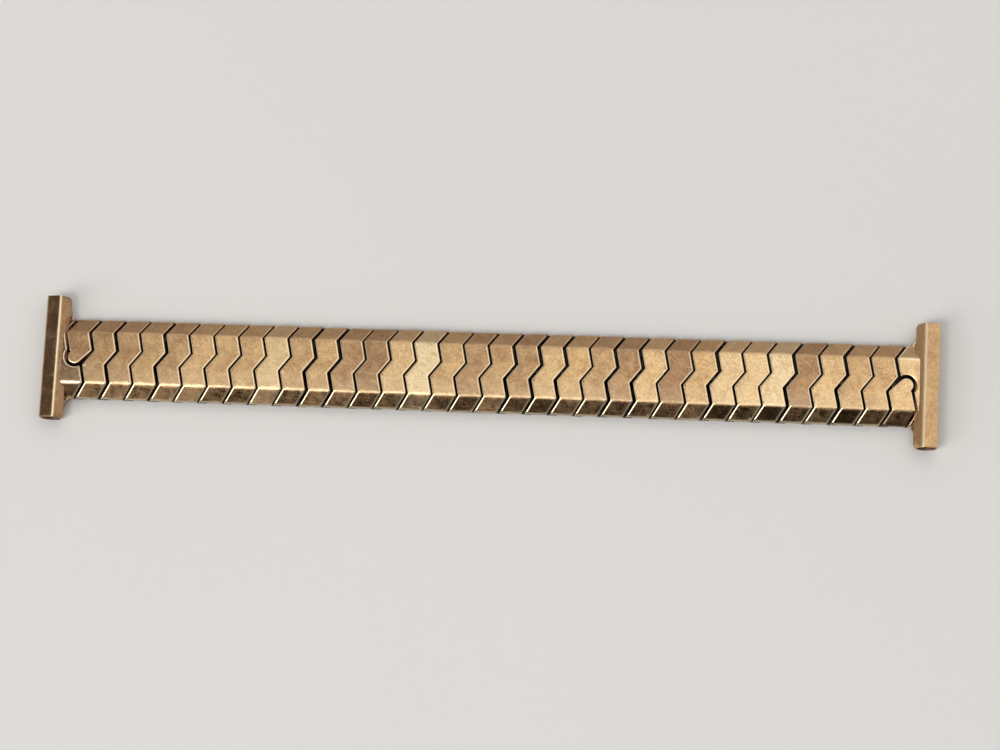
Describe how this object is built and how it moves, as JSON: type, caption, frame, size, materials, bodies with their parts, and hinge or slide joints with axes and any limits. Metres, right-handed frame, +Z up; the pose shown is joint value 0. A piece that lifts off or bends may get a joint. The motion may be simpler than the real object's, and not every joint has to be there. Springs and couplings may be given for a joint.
{
  "type": "expansion watch band",
  "caption": "Expansion watch band with wavy gold-filled links that slide apart and hinge, and a T-bar at each end for a spring bar.",
  "frame": {"origin": "middle of the band, on the surface it lies on", "axes": "+X along the band to its right end, +Y across it to the far edge, +Z up from the wrist side to the outside"},
  "size_m": [0.1262, 0.0176, 0.0031],
  "materials": {
    "gold_filled": "worn satin",
    "steel": "satin"
  },
  "bodies": {
    "left_end": {"left_end_shell": "gold_filled", "left_bar_tube": "steel", "left_end_hinge": "steel"},
    "link_01": {"link_01": "gold_filled", "left_hinge_pin": "steel"},
    "link_02": {"link_02": "gold_filled"},
    "draw_link_02": {"draw_link_02": "steel"},
    "link_03": {"link_03": "gold_filled"},
    "link_04": {"link_04": "gold_filled"},
    "draw_link_04": {"draw_link_04": "steel"},
    "link_05": {"link_05": "gold_filled"},
    "link_06": {"link_06": "gold_filled"},
    "draw_link_06": {"draw_link_06": "steel"},
    "link_07": {"link_07": "gold_filled"},
    "link_08": {"link_08": "gold_filled"},
    "draw_link_08": {"draw_link_08": "steel"},
    "link_09": {"link_09": "gold_filled"},
    "link_10": {"link_10": "gold_filled"},
    "draw_link_10": {"draw_link_10": "steel"},
    "link_11": {"link_11": "gold_filled"},
    "link_12": {"link_12": "gold_filled"},
    "draw_link_12": {"draw_link_12": "steel"},
    "link_13": {"link_13": "gold_filled"},
    "link_14": {"link_14": "gold_filled"},
    "draw_link_14": {"draw_link_14": "steel"},
    "link_15": {"link_15": "gold_filled"},
    "link_16": {"link_16": "gold_filled"},
    "draw_link_16": {"draw_link_16": "steel"},
    "link_17": {"link_17": "gold_filled"},
    "link_18": {"link_18": "gold_filled"},
    "draw_link_18": {"draw_link_18": "steel"},
    "link_19": {"link_19": "gold_filled"},
    "link_20": {"link_20": "gold_filled"},
    "draw_link_20": {"draw_link_20": "steel"},
    "link_21": {"link_21": "gold_filled"},
    "link_22": {"link_22": "gold_filled"},
    "draw_link_22": {"draw_link_22": "steel"},
    "link_23": {"link_23": "gold_filled"},
    "link_24": {"link_24": "gold_filled"},
    "draw_link_24": {"draw_link_24": "steel"},
    "link_25": {"link_25": "gold_filled"},
    "link_26": {"link_26": "gold_filled"},
    "draw_link_26": {"draw_link_26": "steel"},
    "link_27": {"link_27": "gold_filled"},
    "link_28": {"link_28": "gold_filled"},
    "draw_link_28": {"draw_link_28": "steel"},
    "link_29": {"link_29": "gold_filled"},
    "link_30": {"link_30": "gold_filled"},
    "draw_link_30": {"draw_link_30": "steel"},
    "link_31": {"link_31": "gold_filled"},
    "link_32": {"link_32": "gold_filled"},
    "draw_link_32": {"draw_link_32": "steel"},
    "link_33": {"link_33": "gold_filled"},
    "link_34": {"link_34": "gold_filled", "right_hinge_pin": "steel"},
    "right_end": {"right_end_shell": "gold_filled", "right_bar_tube": "steel", "right_end_hinge": "steel"}
  },
  "joints": [
    {"name": "left_end_pivot", "type": "hinge", "parent": "left_end", "child": "link_01", "pos_m": [-0.05958, 0, 0.00055], "axis": [0, 1, 0], "range_deg": [-2, 18]},
    {"name": "stretch_01", "type": "slide", "parent": "link_01", "child": "link_02", "axis": [1, 0, 0], "range_m": [0, 0.00135], "stiffness_N_per_m": 200},
    {"name": "bend_02", "type": "hinge", "parent": "link_02", "child": "draw_link_02", "pos_m": [-0.05382, 0, 0.0005], "axis": [0, 1, 0], "range_deg": [-4, 18]},
    {"name": "stretch_02", "type": "slide", "parent": "draw_link_02", "child": "link_03", "axis": [1, 0, 0], "range_m": [0, 0.00135], "stiffness_N_per_m": 200},
    {"name": "stretch_03", "type": "slide", "parent": "link_03", "child": "link_04", "axis": [1, 0, 0], "range_m": [0, 0.00135], "stiffness_N_per_m": 200},
    {"name": "bend_04", "type": "hinge", "parent": "link_04", "child": "draw_link_04", "pos_m": [-0.04672, 0, 0.0005], "axis": [0, 1, 0], "range_deg": [-4, 18]},
    {"name": "stretch_04", "type": "slide", "parent": "draw_link_04", "child": "link_05", "axis": [1, 0, 0], "range_m": [0, 0.00135], "stiffness_N_per_m": 200},
    {"name": "stretch_05", "type": "slide", "parent": "link_05", "child": "link_06", "axis": [1, 0, 0], "range_m": [0, 0.00135], "stiffness_N_per_m": 200},
    {"name": "bend_06", "type": "hinge", "parent": "link_06", "child": "draw_link_06", "pos_m": [-0.03962, 0, 0.0005], "axis": [0, 1, 0], "range_deg": [-4, 18]},
    {"name": "stretch_06", "type": "slide", "parent": "draw_link_06", "child": "link_07", "axis": [1, 0, 0], "range_m": [0, 0.00135], "stiffness_N_per_m": 200},
    {"name": "stretch_07", "type": "slide", "parent": "link_07", "child": "link_08", "axis": [1, 0, 0], "range_m": [0, 0.00135], "stiffness_N_per_m": 200},
    {"name": "bend_08", "type": "hinge", "parent": "link_08", "child": "draw_link_08", "pos_m": [-0.03252, 0, 0.0005], "axis": [0, 1, 0], "range_deg": [-4, 18]},
    {"name": "stretch_08", "type": "slide", "parent": "draw_link_08", "child": "link_09", "axis": [1, 0, 0], "range_m": [0, 0.00135], "stiffness_N_per_m": 200},
    {"name": "stretch_09", "type": "slide", "parent": "link_09", "child": "link_10", "axis": [1, 0, 0], "range_m": [0, 0.00135], "stiffness_N_per_m": 200},
    {"name": "bend_10", "type": "hinge", "parent": "link_10", "child": "draw_link_10", "pos_m": [-0.02542, 0, 0.0005], "axis": [0, 1, 0], "range_deg": [-4, 18]},
    {"name": "stretch_10", "type": "slide", "parent": "draw_link_10", "child": "link_11", "axis": [1, 0, 0], "range_m": [0, 0.00135], "stiffness_N_per_m": 200},
    {"name": "stretch_11", "type": "slide", "parent": "link_11", "child": "link_12", "axis": [1, 0, 0], "range_m": [0, 0.00135], "stiffness_N_per_m": 200},
    {"name": "bend_12", "type": "hinge", "parent": "link_12", "child": "draw_link_12", "pos_m": [-0.01832, 0, 0.0005], "axis": [0, 1, 0], "range_deg": [-4, 18]},
    {"name": "stretch_12", "type": "slide", "parent": "draw_link_12", "child": "link_13", "axis": [1, 0, 0], "range_m": [0, 0.00135], "stiffness_N_per_m": 200},
    {"name": "stretch_13", "type": "slide", "parent": "link_13", "child": "link_14", "axis": [1, 0, 0], "range_m": [0, 0.00135], "stiffness_N_per_m": 200},
    {"name": "bend_14", "type": "hinge", "parent": "link_14", "child": "draw_link_14", "pos_m": [-0.01122, 0, 0.0005], "axis": [0, 1, 0], "range_deg": [-4, 18]},
    {"name": "stretch_14", "type": "slide", "parent": "draw_link_14", "child": "link_15", "axis": [1, 0, 0], "range_m": [0, 0.00135], "stiffness_N_per_m": 200},
    {"name": "stretch_15", "type": "slide", "parent": "link_15", "child": "link_16", "axis": [1, 0, 0], "range_m": [0, 0.00135], "stiffness_N_per_m": 200},
    {"name": "bend_16", "type": "hinge", "parent": "link_16", "child": "draw_link_16", "pos_m": [-0.00412, 0, 0.0005], "axis": [0, 1, 0], "range_deg": [-4, 18]},
    {"name": "stretch_16", "type": "slide", "parent": "draw_link_16", "child": "link_17", "axis": [1, 0, 0], "range_m": [0, 0.00135], "stiffness_N_per_m": 200},
    {"name": "stretch_17", "type": "slide", "parent": "link_17", "child": "link_18", "axis": [1, 0, 0], "range_m": [0, 0.00135], "stiffness_N_per_m": 200},
    {"name": "bend_18", "type": "hinge", "parent": "link_18", "child": "draw_link_18", "pos_m": [0.00298, 0, 0.0005], "axis": [0, 1, 0], "range_deg": [-4, 18]},
    {"name": "stretch_18", "type": "slide", "parent": "draw_link_18", "child": "link_19", "axis": [1, 0, 0], "range_m": [0, 0.00135], "stiffness_N_per_m": 200},
    {"name": "stretch_19", "type": "slide", "parent": "link_19", "child": "link_20", "axis": [1, 0, 0], "range_m": [0, 0.00135], "stiffness_N_per_m": 200},
    {"name": "bend_20", "type": "hinge", "parent": "link_20", "child": "draw_link_20", "pos_m": [0.01008, 0, 0.0005], "axis": [0, 1, 0], "range_deg": [-4, 18]},
    {"name": "stretch_20", "type": "slide", "parent": "draw_link_20", "child": "link_21", "axis": [1, 0, 0], "range_m": [0, 0.00135], "stiffness_N_per_m": 200},
    {"name": "stretch_21", "type": "slide", "parent": "link_21", "child": "link_22", "axis": [1, 0, 0], "range_m": [0, 0.00135], "stiffness_N_per_m": 200},
    {"name": "bend_22", "type": "hinge", "parent": "link_22", "child": "draw_link_22", "pos_m": [0.01718, 0, 0.0005], "axis": [0, 1, 0], "range_deg": [-4, 18]},
    {"name": "stretch_22", "type": "slide", "parent": "draw_link_22", "child": "link_23", "axis": [1, 0, 0], "range_m": [0, 0.00135], "stiffness_N_per_m": 200},
    {"name": "stretch_23", "type": "slide", "parent": "link_23", "child": "link_24", "axis": [1, 0, 0], "range_m": [0, 0.00135], "stiffness_N_per_m": 200},
    {"name": "bend_24", "type": "hinge", "parent": "link_24", "child": "draw_link_24", "pos_m": [0.02428, 0, 0.0005], "axis": [0, 1, 0], "range_deg": [-4, 18]},
    {"name": "stretch_24", "type": "slide", "parent": "draw_link_24", "child": "link_25", "axis": [1, 0, 0], "range_m": [0, 0.00135], "stiffness_N_per_m": 200},
    {"name": "stretch_25", "type": "slide", "parent": "link_25", "child": "link_26", "axis": [1, 0, 0], "range_m": [0, 0.00135], "stiffness_N_per_m": 200},
    {"name": "bend_26", "type": "hinge", "parent": "link_26", "child": "draw_link_26", "pos_m": [0.03138, 0, 0.0005], "axis": [0, 1, 0], "range_deg": [-4, 18]},
    {"name": "stretch_26", "type": "slide", "parent": "draw_link_26", "child": "link_27", "axis": [1, 0, 0], "range_m": [0, 0.00135], "stiffness_N_per_m": 200},
    {"name": "stretch_27", "type": "slide", "parent": "link_27", "child": "link_28", "axis": [1, 0, 0], "range_m": [0, 0.00135], "stiffness_N_per_m": 200},
    {"name": "bend_28", "type": "hinge", "parent": "link_28", "child": "draw_link_28", "pos_m": [0.03848, 0, 0.0005], "axis": [0, 1, 0], "range_deg": [-4, 18]},
    {"name": "stretch_28", "type": "slide", "parent": "draw_link_28", "child": "link_29", "axis": [1, 0, 0], "range_m": [0, 0.00135], "stiffness_N_per_m": 200},
    {"name": "stretch_29", "type": "slide", "parent": "link_29", "child": "link_30", "axis": [1, 0, 0], "range_m": [0, 0.00135], "stiffness_N_per_m": 200},
    {"name": "bend_30", "type": "hinge", "parent": "link_30", "child": "draw_link_30", "pos_m": [0.04558, 0, 0.0005], "axis": [0, 1, 0], "range_deg": [-4, 18]},
    {"name": "stretch_30", "type": "slide", "parent": "draw_link_30", "child": "link_31", "axis": [1, 0, 0], "range_m": [0, 0.00135], "stiffness_N_per_m": 200},
    {"name": "stretch_31", "type": "slide", "parent": "link_31", "child": "link_32", "axis": [1, 0, 0], "range_m": [0, 0.00135], "stiffness_N_per_m": 200},
    {"name": "bend_32", "type": "hinge", "parent": "link_32", "child": "draw_link_32", "pos_m": [0.05268, 0, 0.0005], "axis": [0, 1, 0], "range_deg": [-4, 18]},
    {"name": "stretch_32", "type": "slide", "parent": "draw_link_32", "child": "link_33", "axis": [1, 0, 0], "range_m": [0, 0.00135], "stiffness_N_per_m": 200},
    {"name": "stretch_33", "type": "slide", "parent": "link_33", "child": "link_34", "axis": [1, 0, 0], "range_m": [0, 0.00135], "stiffness_N_per_m": 200},
    {"name": "right_end_pivot", "type": "hinge", "parent": "link_34", "child": "right_end", "pos_m": [0.05958, 0, 0.00055], "axis": [0, 1, 0], "range_deg": [-2, 18]}
  ],
  "couplings": [
    {"joint": "stretch_02", "follows": "stretch_01", "ratio": 1},
    {"joint": "stretch_03", "follows": "stretch_01", "ratio": 1},
    {"joint": "stretch_04", "follows": "stretch_01", "ratio": 1},
    {"joint": "stretch_05", "follows": "stretch_01", "ratio": 1},
    {"joint": "stretch_06", "follows": "stretch_01", "ratio": 1},
    {"joint": "stretch_07", "follows": "stretch_01", "ratio": 1},
    {"joint": "stretch_08", "follows": "stretch_01", "ratio": 1},
    {"joint": "stretch_09", "follows": "stretch_01", "ratio": 1},
    {"joint": "stretch_10", "follows": "stretch_01", "ratio": 1},
    {"joint": "stretch_11", "follows": "stretch_01", "ratio": 1},
    {"joint": "stretch_12", "follows": "stretch_01", "ratio": 1},
    {"joint": "stretch_13", "follows": "stretch_01", "ratio": 1},
    {"joint": "stretch_14", "follows": "stretch_01", "ratio": 1},
    {"joint": "stretch_15", "follows": "stretch_01", "ratio": 1},
    {"joint": "stretch_16", "follows": "stretch_01", "ratio": 1},
    {"joint": "stretch_17", "follows": "stretch_01", "ratio": 1},
    {"joint": "stretch_18", "follows": "stretch_01", "ratio": 1},
    {"joint": "stretch_19", "follows": "stretch_01", "ratio": 1},
    {"joint": "stretch_20", "follows": "stretch_01", "ratio": 1},
    {"joint": "stretch_21", "follows": "stretch_01", "ratio": 1},
    {"joint": "stretch_22", "follows": "stretch_01", "ratio": 1},
    {"joint": "stretch_23", "follows": "stretch_01", "ratio": 1},
    {"joint": "stretch_24", "follows": "stretch_01", "ratio": 1},
    {"joint": "stretch_25", "follows": "stretch_01", "ratio": 1},
    {"joint": "stretch_26", "follows": "stretch_01", "ratio": 1},
    {"joint": "stretch_27", "follows": "stretch_01", "ratio": 1},
    {"joint": "stretch_28", "follows": "stretch_01", "ratio": 1},
    {"joint": "stretch_29", "follows": "stretch_01", "ratio": 1},
    {"joint": "stretch_30", "follows": "stretch_01", "ratio": 1},
    {"joint": "stretch_31", "follows": "stretch_01", "ratio": 1},
    {"joint": "stretch_32", "follows": "stretch_01", "ratio": 1},
    {"joint": "stretch_33", "follows": "stretch_01", "ratio": 1}
  ]
}
